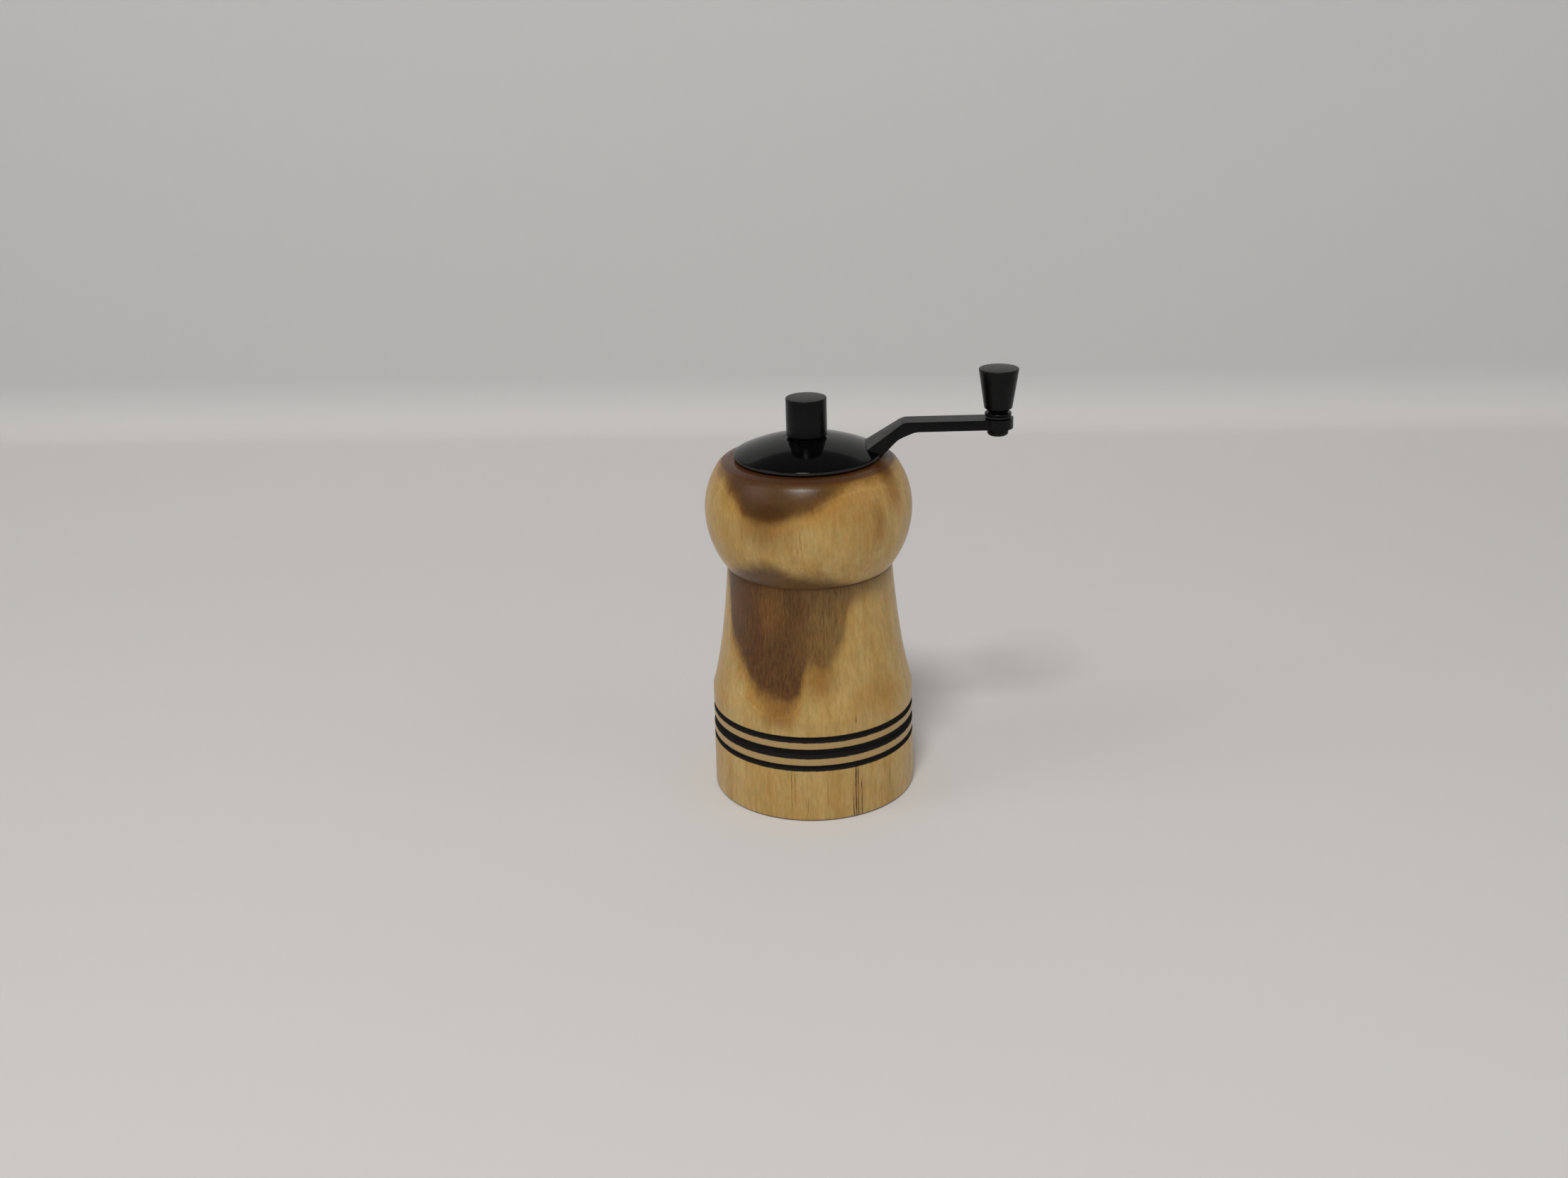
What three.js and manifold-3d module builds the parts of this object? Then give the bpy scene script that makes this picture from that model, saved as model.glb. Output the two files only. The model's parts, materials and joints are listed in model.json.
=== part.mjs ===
// Hand-crank burr mill. A turned wooden body and head hold the seasoning, a burr set sits in the
// base, and a black metal cap with a crank arm turns the burr shaft.
// Millimetres, +Z up, standing on Z = 0. The crank arm points along +X at rest.
import * as THREE from "three";
import { mergeVertices } from "three/addons/utils/BufferGeometryUtils.js";
import Module from "manifold-3d";

const wasm = await Module();
wasm.setup();

// ---------------------------------------------------------------- driving dimensions

const gap = 0.3; // clearance between neighbouring pieces
const woodSegments = 40;
const partSegments = 24;

// Turned wood: 2 1/2 in stock, bored 27 mm (1 1/16 in) through.
const base = { radius: 32, shoulderRadius: 31.5, shoulderZ: 33, edge: 0.5 };
const waist = { radius: 25.45, topZ: 74, coneRadius: 31.45, coneZ: 34, pullRadius: 27.6, pullZ: 47 };
const grooves = [
  { z: 18.05, width: 1.8, depth: 0.8 },
  { z: 22.85, width: 3.1, depth: 1.3 },
  { z: 27.55, width: 1.9, depth: 0.8 },
];
const boreRadius = 13.5;
const recess = { radius: 20.5, depth: 15 };
const tenon = { radius: 18.2, bottomZ: 62 };
const head = { radius: 31.64, widestZ: 92, lowerArc: 29, upperArc: 23.5, arcEndZ: 105.8, topZ: 107.5 };
const headEdge = { radius: 25.24, z: 107.1, flatRadius: 22.44 }; // the eased edge round the mouth
const mouth = { radius: 19, floorZ: 97.3 };

// Burr set in the base.
const housing = { tubeOuter: 13.2, tubeInner: 11.6, flangeRadius: 19.2, flange: 2.3, topZ: 35 };
const spider = { hubOuter: 6.6, hubInner: 5, height: 3.3, spokeWidth: 2.4, spokes: 3 };
const housingScrew = { circle: 16.3, shank: 1.3, head: 2.6, headHeight: 1.7, length: 8 };
const screwSlot = { halfWidth: 0.3, depth: 0.35 }; // depth as a share of the head's height
const shaftSide = 4.76; // 3/16 in square bar
const shaftHole = 5.4; // side of the square holes that the bar slides through
const shaftTop = { squareZ: 112.3, threadRadius: 2.38, topZ: 122 }; // no. 10-24 thread
const shaftFoot = { squareZ: 10, threadRadius: 1.95, bottomZ: 4.6 }; // M4 thread
const bushingBore = 3.7;
const stator = {
  bottomZ: 11,
  throatZ: 14.5,
  topZ: 21.5,
  mouthRadius: 9.6,
  throatRadius: 8.4,
  feedRadius: 10.5,
};
const burrClearance = 0.55; // radial, between the tips of the two burrs at rest
const teeth = { count: 18, depth: 0.08, twist: 0.35 }; // depth as a share of the radius, twist in radians
const rotor = { bottomZ: 10.2, topZ: 21.2, topRadius: 6 };
const spring = { radius: 4.6, wire: 0.45, turns: 5, bottomZ: 22, topZ: 29.4 };
const springSeat = { radius: 6, height: 1.2 };
const rotorWasher = { radius: 4.6, height: 1, topZ: 9.9 };
const rotorNut = { acrossFlats: 7, height: 3.2 }; // M4

// Cap, knobs and crank.
const dome = {
  radius: 22,
  lip: 0.2,
  rimZ: 109.14,
  crownZ: 114.1,
  underZ: 107.9,
  seatRadius: 6.5,
  seatZ: 113.62,
  hole: 3.8,
};
const spigot = { outer: 14.9, inner: 12.9, bottomZ: 100, ceilingZ: 110.2 };
const drivePlate = { radius: 12.4, bottomZ: 105.75, height: 1.85, screwX: 9 };
const plateScrew = { shank: 1.2, head: 2.4, headHeight: 1.5, topZ: 111.2 };
const bossRadius = 3; // takes the plate screw opposite the arm's tail
const knob = { radius: 6.15, bottomZ: 113.92, topZ: 125.8, edge: 0.3, chamfer: 0.5 };
const insert = { outer: 4, inner: 2.7, bottomZ: 114.1, topZ: 121.2 };

// The crank arm's side view: a tail under the dome, a foot in the notch of its rim, a rising part
// and a level run. In plan the rising part widens from the level run's width to the foot's.
const arm = { width: 7, footWidth: 12, topZ: 118.1, bottomZ: 115.05, bendX: 29, bendEase: 0.7 };
const tail = { fromX: 5.2, topZ: 109.9 };
const foot = { fromX: 17.75, topZ: 110.5, heelX: 21.9 };
const armUnder = { kneeX: 27, kneeZ: 112.7, levelX: 32.4 };
const eye = { x: 57.3, radius: 4.6, hole: 2.2 };
const knobWasher = { radius: 3.8, bottomZ: 118.35, topZ: 118.7 };
const knobCollar = { radius: 4, bottomZ: 119 };
const crankKnob = {
  topRadius: 6,
  topZ: 133.1,
  lowRadius: 4.2,
  lowZ: 121.2,
  neckRadius: 3.1,
  neckZ: 120.4,
  bottomZ: 120.1,
  edge: 0.15,
};
const pin = { headRadius: 3.2, headBottomZ: 112.7, headEase: 0.9, shank: 1.9, topZ: 128.6 };

// The object's footprint is centred on the origin, so the turning axis stands to one side of it.
const reach = eye.x + crankKnob.topRadius;
const axisX = (base.radius - reach) / 2;

// ---------------------------------------------------------------- shape helpers

// A closed geometry as a manifold solid.
function solid(geometry) {
  const bare = geometry.index ? geometry.toNonIndexed() : geometry.clone();
  bare.deleteAttribute("normal");
  bare.deleteAttribute("uv");
  const merged = mergeVertices(bare, 1e-4);
  return new wasm.Manifold(
    new wasm.Mesh({
      numProp: 3,
      vertProperties: merged.attributes.position.array,
      triVerts: new Uint32Array(merged.index.array),
    }),
  );
}

// A manifold solid as a geometry.
function geometryOf(body) {
  const mesh = body.getMesh();
  return new THREE.BufferGeometry()
    .setAttribute("position", new THREE.BufferAttribute(mesh.vertProperties, 3))
    .setIndex(new THREE.BufferAttribute(mesh.triVerts, 1));
}

// A solid of revolution about Z from [radius, z] points. The outline closes on itself, unless it
// starts and ends on the axis.
function turned(outline, segments = partSegments) {
  const points = outline.map(([r, z]) => new THREE.Vector2(r, z));
  if (THREE.ShapeUtils.area(points) < 0) points.reverse();
  const onAxis = points[0].x === 0 && points.at(-1).x === 0;
  if (!onAxis) points.push(points[0].clone());
  return solid(new THREE.LatheGeometry(points, segments).rotateX(Math.PI / 2));
}

function rod(radius, bottomZ, topZ, x = 0, y = 0, segments = partSegments) {
  const bar = turned([[0, bottomZ], [radius, bottomZ], [radius, topZ], [0, topZ]], segments);
  return bar.translate([x, y, 0]);
}

function ring(inner, outer, bottomZ, topZ, segments = partSegments) {
  return turned([[inner, bottomZ], [outer, bottomZ], [outer, topZ], [inner, topZ]], segments);
}

function block([x0, x1], [y0, y1], [z0, z1]) {
  const box = new THREE.BoxGeometry(x1 - x0, y1 - y0, z1 - z0);
  return solid(box.translate((x0 + x1) / 2, (y0 + y1) / 2, (z0 + z1) / 2));
}

// A block that widens or narrows in plan, from half a width at one x to half a width at another.
function wedge([x0, half0], [x1, half1], [z0, z1]) {
  const corners = [[x0, -half0], [x1, -half1], [x1, half1], [x0, half0]];
  const plan = new THREE.Shape(corners.map(([x, y]) => new THREE.Vector2(x, y)));
  const body = new THREE.ExtrudeGeometry(plan, { depth: z1 - z0, bevelEnabled: false });
  return solid(body.translate(0, 0, z0));
}

function squareBar(side, bottomZ, topZ) {
  return block([-side / 2, side / 2], [-side / 2, side / 2], [bottomZ, topZ]);
}

// [radius, z] points on an arc about (centreR, centreZ), between two heights.
function arc(centreR, centreZ, radius, fromZ, toZ, steps) {
  return Array.from({ length: steps + 1 }, (_, i) => {
    const z = fromZ + ((toZ - fromZ) * i) / steps;
    return [centreR + Math.sqrt(radius ** 2 - (z - centreZ) ** 2), z];
  });
}

function curvePoints(curve, steps) {
  return curve.getPoints(steps).map((p) => [p.x, p.y]);
}

// A tapered, twisted solid with teeth round it. Each level is [z, tip radius].
function toothedCone(levels) {
  const outline = new THREE.Shape(
    Array.from({ length: teeth.count * 3 }, (_, i) => {
      const angle = (2 * Math.PI * i) / (teeth.count * 3);
      const radius = i % 3 === 0 ? 1 : 1 - teeth.depth;
      return new THREE.Vector2(radius * Math.cos(angle), radius * Math.sin(angle));
    }),
  );
  const steps = levels.length - 1;
  const cone = new THREE.ExtrudeGeometry(outline, { depth: steps, steps, bevelEnabled: false });
  const position = cone.attributes.position;
  for (let i = 0; i < position.count; i++) {
    const [z, radius] = levels[Math.round(position.getZ(i))];
    const share = (z - levels[0][0]) / (levels.at(-1)[0] - levels[0][0]);
    const point = new THREE.Vector2(position.getX(i), position.getY(i));
    point.rotateAround(new THREE.Vector2(), teeth.twist * share).multiplyScalar(radius);
    position.setXYZ(i, point.x, point.y, z);
  }
  return solid(cone);
}

const group = new THREE.Group();
group.position.x = axisX;

const finishes = {
  wood: { color: 0xd8b878, roughness: 0.42, metalness: 0 },
  glossBlack: { color: 0x0a0a0c, roughness: 0.12, metalness: 0.1 },
  satinBlack: { color: 0x101012, roughness: 0.38, metalness: 0.2 },
  nylon: { color: 0x1a1a1c, roughness: 0.6, metalness: 0 },
  steel: { color: 0x9a9ca0, roughness: 0.35, metalness: 1 },
  brass: { color: 0xb08a3c, roughness: 0.35, metalness: 1 },
  aluminium: { color: 0xc4c6c8, roughness: 0.4, metalness: 1 },
};

function add(name, body, finish) {
  const mesh = new THREE.Mesh(geometryOf(body), new THREE.MeshStandardMaterial(finishes[finish]));
  mesh.name = name;
  group.add(mesh);
}

// ---------------------------------------------------------------- turned wood

const baseSurface = (z) => base.radius + ((base.shoulderRadius - base.radius) * z) / base.shoulderZ;

function groovePoints({ z, width, depth }) {
  const half = width / 2;
  return [
    [baseSurface(z - half), z - half],
    [baseSurface(z) - depth, z - half / 3],
    [baseSurface(z) - depth, z + half / 3],
    [baseSurface(z + half), z + half],
  ];
}

const screwSpots = [1, 3, 5].map((third) => {
  const angle = (third * Math.PI) / 3;
  return [housingScrew.circle * Math.cos(angle), housingScrew.circle * Math.sin(angle)];
});
const flangeBottomZ = recess.depth - gap - housing.flange;
const screwTopZ = flangeBottomZ + housingScrew.length;

function lowerBody() {
  const cone = new THREE.QuadraticBezierCurve(
    new THREE.Vector2(waist.coneRadius, waist.coneZ),
    new THREE.Vector2(waist.pullRadius, waist.pullZ),
    new THREE.Vector2(waist.radius, waist.topZ),
  );
  const turnedBody = turned(
    [
      [recess.radius, 0],
      [base.radius - base.edge, 0],
      [base.radius, base.edge],
      ...grooves.flatMap(groovePoints),
      [base.shoulderRadius, base.shoulderZ],
      ...curvePoints(cone, 7),
      [tenon.radius + gap, waist.topZ],
      [tenon.radius + gap, tenon.bottomZ],
      [boreRadius, tenon.bottomZ],
      [boreRadius, recess.depth],
      [recess.radius, recess.depth],
    ],
    woodSegments,
  );
  const holes = screwSpots.map(([x, y]) =>
    rod(housingScrew.shank + gap, recess.depth - 1, screwTopZ + 1, x, y, 12),
  );
  return holes.reduce((body, hole) => body.subtract(hole), turnedBody);
}

function headTurning() {
  const lowerCentre = head.radius - head.lowerArc;
  const upperCentre = head.radius - head.upperArc;
  const shoulderZ = waist.topZ + gap;
  return turned(
    [
      [boreRadius, tenon.bottomZ + gap],
      [tenon.radius, tenon.bottomZ + gap],
      [tenon.radius, shoulderZ],
      ...arc(lowerCentre, head.widestZ, head.lowerArc, shoulderZ, head.widestZ, 6),
      ...arc(upperCentre, head.widestZ, head.upperArc, head.widestZ, head.arcEndZ, 6).slice(1),
      [headEdge.radius, headEdge.z],
      [headEdge.flatRadius, head.topZ],
      [mouth.radius, head.topZ],
      [mouth.radius, mouth.floorZ],
      [boreRadius, mouth.floorZ],
    ],
    woodSegments,
  );
}

add("lower_body", lowerBody(), "wood");
add("head", headTurning(), "wood");
add(
  "mouth_collar",
  ring(spigot.outer + gap, mouth.radius - gap, mouth.floorZ + gap, head.topZ - gap, woodSegments),
  "nylon",
);

// ---------------------------------------------------------------- burr set

const spiderBottomZ = housing.topZ - spider.height;

function burrHousing() {
  const shell = turned(
    [
      [housing.tubeInner, flangeBottomZ],
      [housing.flangeRadius, flangeBottomZ],
      [housing.flangeRadius, flangeBottomZ + housing.flange],
      [housing.tubeOuter, flangeBottomZ + housing.flange],
      [housing.tubeOuter, housing.topZ],
      [housing.tubeInner, housing.topZ],
    ],
    woodSegments,
  );
  let body = shell.add(ring(spider.hubInner, spider.hubOuter, spiderBottomZ, housing.topZ));
  const reachIn = (spider.hubInner + spider.hubOuter) / 2;
  const reachOut = (housing.tubeInner + housing.tubeOuter) / 2;
  const halfWidth = spider.spokeWidth / 2;
  for (let i = 0; i < spider.spokes; i++) {
    const spoke = block([reachIn, reachOut], [-halfWidth, halfWidth], [spiderBottomZ, housing.topZ]);
    body = body.add(spoke.rotate([0, 0, (360 * i) / spider.spokes]));
  }
  for (const [x, y] of screwSpots) {
    body = body.subtract(rod(housingScrew.shank + gap, flangeBottomZ - 1, recess.depth, x, y, 12));
  }
  return body;
}

function screw({ shank, head: headRadius, headHeight }, bottomZ, topZ, [x, y]) {
  const outline = [
    [0, bottomZ],
    [headRadius * 0.75, bottomZ],
    [headRadius, bottomZ + headHeight * 0.4],
    [headRadius, bottomZ + headHeight],
    [shank, bottomZ + headHeight],
    [shank, topZ - shank],
    [0, topZ],
  ];
  const slot = block(
    [-headRadius, headRadius],
    [-screwSlot.halfWidth, screwSlot.halfWidth],
    [bottomZ - 1, bottomZ + headHeight * screwSlot.depth],
  );
  return turned(outline, 12).subtract(slot).translate([x, y, 0]);
}

function statorBurr() {
  const outside = rod(housing.tubeInner - gap, stator.bottomZ, stator.topZ, 0, 0, woodSegments);
  const inside = toothedCone([
    [stator.bottomZ - 0.5, (stator.mouthRadius + 0.2) / (1 - teeth.depth)],
    [stator.throatZ, stator.throatRadius / (1 - teeth.depth)],
    [stator.topZ + 0.5, stator.feedRadius],
  ]);
  return outside.subtract(inside);
}

function rotorBurr() {
  const mouthTip = stator.mouthRadius - burrClearance;
  const throatTip = stator.throatRadius - burrClearance;
  const cone = toothedCone([
    [rotor.bottomZ, mouthTip],
    [stator.bottomZ, mouthTip],
    [stator.throatZ, throatTip],
    [rotor.topZ, rotor.topRadius],
  ]);
  return cone.subtract(squareBar(shaftHole, rotor.bottomZ - 1, rotor.topZ + 1));
}

class Helix extends THREE.Curve {
  getPoint(t, target = new THREE.Vector3()) {
    const angle = 2 * Math.PI * spring.turns * t;
    const z = spring.bottomZ + (spring.topZ - spring.bottomZ) * t;
    return target.set(spring.radius * Math.cos(angle), spring.radius * Math.sin(angle), z);
  }
}

function pressureSpring() {
  const sides = 6;
  const wire = new THREE.Shape(
    Array.from({ length: sides }, (_, i) => {
      const angle = (2 * Math.PI * i) / sides;
      return new THREE.Vector2(spring.wire * Math.cos(angle), spring.wire * Math.sin(angle));
    }),
  );
  const coil = { steps: spring.turns * 12, extrudePath: new Helix(), bevelEnabled: false };
  return solid(new THREE.ExtrudeGeometry(wire, coil));
}

function driveShaft() {
  const thread = rod(shaftTop.threadRadius, shaftTop.squareZ - 1, shaftTop.topZ);
  const foot = rod(shaftFoot.threadRadius, shaftFoot.bottomZ, shaftFoot.squareZ + 1, 0, 0, 16);
  return squareBar(shaftSide, shaftFoot.squareZ, shaftTop.squareZ).add(thread).add(foot);
}

const footHole = shaftFoot.threadRadius + gap;
const washerBottomZ = rotorWasher.topZ - rotorWasher.height;
const nutTopZ = washerBottomZ - gap;
const nutCornerRadius = rotorNut.acrossFlats / Math.sqrt(3);
const seatTopZ = spiderBottomZ - gap;

add("burr_housing", burrHousing(), "aluminium");
screwSpots.forEach((spot, i) => {
  const bottomZ = flangeBottomZ - gap - housingScrew.headHeight;
  add(`housing_screw_${i + 1}`, screw(housingScrew, bottomZ, screwTopZ, spot), "steel");
});
add("stator_burr", statorBurr(), "steel");
add("shaft_bushing", ring(bushingBore, spider.hubInner - gap, spiderBottomZ, housing.topZ), "nylon");
add(
  "spring_seat",
  rod(springSeat.radius, seatTopZ - springSeat.height, seatTopZ).subtract(
    squareBar(shaftHole, seatTopZ - springSeat.height - 1, seatTopZ + 1),
  ),
  "steel",
);
add("pressure_spring", pressureSpring(), "steel");
add("drive_shaft", driveShaft(), "aluminium");
add("rotor_burr", rotorBurr(), "steel");
add("rotor_washer", ring(footHole, rotorWasher.radius, washerBottomZ, rotorWasher.topZ), "steel");
add("rotor_nut", ring(footHole, nutCornerRadius, nutTopZ - rotorNut.height, nutTopZ, 6), "steel");

// ---------------------------------------------------------------- cap and crank

const screwHole = plateScrew.shank + gap;
const armHalf = arm.width / 2;
const footHalf = arm.footWidth / 2;
const tailBottomZ = dome.underZ + 0.05;

function capDome() {
  const rise = dome.crownZ - dome.rimZ;
  const sphere = (dome.radius ** 2 + rise ** 2) / (2 * rise);
  const crown = Array.from({ length: 9 }, (_, i) => {
    const r = dome.seatRadius + ((dome.radius - dome.seatRadius) * i) / 8;
    return [r, dome.crownZ - sphere + Math.sqrt(sphere ** 2 - r ** 2)];
  });
  const shell = turned(
    [
      [dome.hole, dome.seatZ],
      [dome.seatRadius, dome.seatZ],
      ...crown,
      [dome.radius + dome.lip, dome.rimZ - 0.5],
      [dome.radius + dome.lip, dome.underZ + 0.3],
      [dome.radius, dome.underZ],
      [spigot.outer, dome.underZ],
      [spigot.outer, spigot.bottomZ],
      [spigot.inner, spigot.bottomZ],
      [spigot.inner, spigot.ceilingZ],
      [dome.hole, spigot.ceilingZ],
    ],
    woodSegments,
  );
  const boss = rod(bossRadius, dome.underZ, spigot.ceilingZ + 1, -drivePlate.screwX, 0, 16);
  const groove = block(
    [tail.fromX - gap, foot.fromX],
    [-armHalf - gap, armHalf + gap],
    [tailBottomZ - gap, spigot.ceilingZ],
  );
  const notch = wedge(
    [foot.fromX - gap, footHalf + gap],
    [arm.bendX, armHalf + gap],
    [dome.underZ - 1, dome.crownZ],
  );
  const holes = [-1, 1].map((side) =>
    rod(screwHole, dome.underZ - 1, plateScrew.topZ + gap, side * drivePlate.screwX, 0, 12),
  );
  return [groove, notch, ...holes].reduce((body, cut) => body.subtract(cut), shell.add(boss));
}

function crankArm() {
  const side = new THREE.Shape();
  side.moveTo(tail.fromX, tailBottomZ);
  side.lineTo(foot.heelX, tailBottomZ);
  side.lineTo(armUnder.kneeX, armUnder.kneeZ);
  side.lineTo(armUnder.levelX, arm.bottomZ);
  side.lineTo(eye.x, arm.bottomZ);
  side.lineTo(eye.x, arm.topZ);
  const slope = (arm.topZ - foot.topZ) / (arm.bendX - foot.fromX);
  side.lineTo(arm.bendX + arm.bendEase, arm.topZ);
  side.quadraticCurveTo(arm.bendX, arm.topZ, arm.bendX - arm.bendEase, arm.topZ - slope * arm.bendEase);
  side.lineTo(foot.fromX, foot.topZ);
  side.lineTo(foot.fromX, tail.topZ);
  side.lineTo(tail.fromX, tail.topZ);
  const across = { depth: arm.footWidth, bevelEnabled: false, curveSegments: 5 };
  const slab = new THREE.ExtrudeGeometry(side, across);
  const heights = [dome.underZ - 1, arm.topZ + 1];
  const plan = block([tail.fromX - 1, foot.fromX], [-armHalf, armHalf], heights)
    .add(wedge([foot.fromX, footHalf], [arm.bendX, armHalf], heights))
    .add(block([arm.bendX, eye.x], [-armHalf, armHalf], heights));
  return solid(slab.rotateX(Math.PI / 2).translate(0, footHalf, 0))
    .intersect(plan)
    .add(rod(eye.radius, arm.bottomZ, arm.topZ, eye.x))
    .subtract(rod(eye.hole, arm.bottomZ - 1, arm.topZ + 1, eye.x))
    .subtract(rod(screwHole, dome.underZ - 1, tail.topZ + 1, drivePlate.screwX, 0, 12));
}

function drivePlateBody() {
  const topZ = drivePlate.bottomZ + drivePlate.height;
  const disc = rod(drivePlate.radius, drivePlate.bottomZ, topZ);
  const cuts = [-1, 1].map((side) =>
    rod(screwHole, drivePlate.bottomZ - 1, topZ + 1, side * drivePlate.screwX, 0, 12),
  );
  cuts.push(squareBar(shaftHole, drivePlate.bottomZ - 1, topZ + 1));
  return cuts.reduce((body, cut) => body.subtract(cut), disc);
}

const adjustingKnob = turned(
  [
    [0, knob.topZ],
    [knob.radius - knob.edge, knob.topZ],
    [knob.radius, knob.topZ - knob.edge],
    [knob.radius, knob.bottomZ + knob.chamfer],
    [knob.radius - knob.chamfer, knob.bottomZ],
    [insert.outer + gap, knob.bottomZ],
    [insert.outer + gap, insert.topZ + gap],
    [insert.inner, insert.topZ + gap],
    [insert.inner, knob.topZ - 2],
    [0, knob.topZ - 2],
  ],
  32,
);

const crankKnobBody = turned(
  [
    [0, crankKnob.topZ],
    [crankKnob.topRadius - crankKnob.edge, crankKnob.topZ],
    [crankKnob.topRadius, crankKnob.topZ - crankKnob.edge],
    [crankKnob.lowRadius, crankKnob.lowZ],
    [crankKnob.neckRadius, crankKnob.neckZ],
    [crankKnob.neckRadius, crankKnob.bottomZ],
    [eye.hole, crankKnob.bottomZ],
    [eye.hole, pin.topZ + gap],
    [0, pin.topZ + gap],
  ],
  32,
);

const knobPin = turned([
  [0, pin.headBottomZ],
  [pin.headRadius - pin.headEase, pin.headBottomZ],
  [pin.headRadius, pin.headBottomZ + pin.headEase],
  [pin.headRadius, arm.bottomZ - gap],
  [pin.shank, arm.bottomZ - gap],
  [pin.shank, pin.topZ],
  [0, pin.topZ],
]);

add("cap_dome", capDome(), "glossBlack");
add("drive_plate", drivePlateBody(), "steel");
[drivePlate.screwX, -drivePlate.screwX].forEach((x, i) => {
  const bottomZ = drivePlate.bottomZ - gap - plateScrew.headHeight;
  add(`plate_screw_${i + 1}`, screw(plateScrew, bottomZ, plateScrew.topZ, [x, 0]), "steel");
});
add("crank_arm", crankArm(), "satinBlack");
add("adjusting_knob", adjustingKnob, "satinBlack");
add("knob_insert", ring(insert.inner, insert.outer, insert.bottomZ, insert.topZ), "brass");
const atEye = (body) => body.translate([eye.x, 0, 0]);
const washerRing = ring(eye.hole, knobWasher.radius, knobWasher.bottomZ, knobWasher.topZ);
const collarRing = ring(eye.hole, knobCollar.radius, knobCollar.bottomZ, crankKnob.bottomZ - gap);
add("knob_washer", atEye(washerRing), "nylon");
add("knob_collar", atEye(collarRing), "satinBlack");
add("knob_pin", atEye(knobPin), "satinBlack");
add("crank_knob", atEye(crankKnobBody), "satinBlack");

export default group;
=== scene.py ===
"""Looks of the hand-crank burr mill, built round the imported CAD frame.

Everything is in metres in the CAD's frame, +Z up. Outlines of turned pieces are [radius, height]
points in millimetres about the mill's own axis, and an optional third value rounds that corner.
"""

import json
import math

import bmesh
import bpy
from mathutils import Matrix, Vector


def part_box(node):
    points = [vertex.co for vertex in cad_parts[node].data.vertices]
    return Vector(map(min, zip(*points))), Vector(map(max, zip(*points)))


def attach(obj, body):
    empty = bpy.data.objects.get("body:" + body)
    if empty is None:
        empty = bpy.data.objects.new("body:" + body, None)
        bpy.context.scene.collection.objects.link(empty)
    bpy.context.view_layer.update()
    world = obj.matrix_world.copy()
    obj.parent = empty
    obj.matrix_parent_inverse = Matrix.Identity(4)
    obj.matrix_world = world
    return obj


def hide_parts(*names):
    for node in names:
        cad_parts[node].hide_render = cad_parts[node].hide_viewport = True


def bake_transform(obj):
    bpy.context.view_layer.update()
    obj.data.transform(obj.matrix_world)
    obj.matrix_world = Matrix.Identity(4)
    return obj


MM = 0.001
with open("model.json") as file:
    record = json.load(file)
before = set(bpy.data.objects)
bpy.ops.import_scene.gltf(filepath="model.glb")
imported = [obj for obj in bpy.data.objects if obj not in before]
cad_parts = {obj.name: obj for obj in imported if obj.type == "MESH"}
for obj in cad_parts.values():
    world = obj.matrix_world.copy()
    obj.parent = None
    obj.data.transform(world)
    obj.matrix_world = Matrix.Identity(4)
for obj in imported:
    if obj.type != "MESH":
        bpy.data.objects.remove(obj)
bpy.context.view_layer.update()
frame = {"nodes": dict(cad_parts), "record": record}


def middle(node):
    """The vertical centre line of a CAD node, as a point at height 0."""
    low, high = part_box(node)
    return Vector(((low.x + high.x) / 2, (low.y + high.y) / 2, 0))


AXIS = middle("lower_body")
KNOB_AXIS = middle("crank_knob")


def heights(node):
    """Lowest and highest point of a CAD node, in millimetres."""
    low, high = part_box(node)
    return low.z / MM, high.z / MM


def radius_of(node):
    """Half a CAD node's depth, in millimetres."""
    low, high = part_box(node)
    return (high.y - low.y) / 2 / MM


# ---------------------------------------------------------------- mesh helpers


def rounded(outline, closed, steps=5):
    """The outline with an arc in place of each corner that has a third value, its radius."""
    made = []
    count = len(outline)
    for i, corner in enumerate(outline):
        point = Vector(corner[:2])
        if len(corner) < 3 or (not closed and i in (0, count - 1)):
            made.append(point)
            continue
        before = Vector(outline[i - 1][:2]) - point
        after = Vector(outline[(i + 1) % count][:2]) - point
        half = before.angle(after) / 2
        # The arc takes up less than half of either side, so that two arcs never meet.
        room = min(before.length, after.length) * 0.49
        reach = min(corner[2] / math.tan(half), room)
        radius = reach * math.tan(half)
        inward = (before.normalized() + after.normalized()).normalized()
        centre = point + inward * radius / math.sin(half)
        start = point + before.normalized() * reach - centre
        end = point + after.normalized() * reach - centre
        turn = start.angle_signed(end)
        for k in range(steps + 1):
            a = -turn * k / steps
            spun = Vector((
                start.x * math.cos(a) - start.y * math.sin(a),
                start.x * math.sin(a) + start.y * math.cos(a),
            ))
            made.append(centre + spun)
    return made


def arc_points(centre_r, centre_z, radius, from_z, to_z, steps):
    """Points on the outer side of a circle, evenly spaced in height."""
    points = []
    for i in range(steps + 1):
        z = from_z + (to_z - from_z) * i / steps
        points.append((centre_r + math.sqrt(radius**2 - (z - centre_z) ** 2), z))
    return points


def bezier_points(start, pull, end, steps):
    """Points on a curve from start to end that bends towards pull."""
    points = []
    for i in range(steps + 1):
        t = i / steps
        weights = ((1 - t) ** 2, 2 * t * (1 - t), t * t)
        points.append(tuple(sum(w * p[k] for w, p in zip(weights, (start, pull, end))) for k in (0, 1)))
    return points


def smooth(mesh, sharp_degrees=35):
    """Shades the faces smooth, apart from edges that turn by more than sharp_degrees."""
    for face in mesh.polygons:
        face.use_smooth = True
    mesh.set_sharp_from_angle(angle=math.radians(sharp_degrees))


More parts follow.
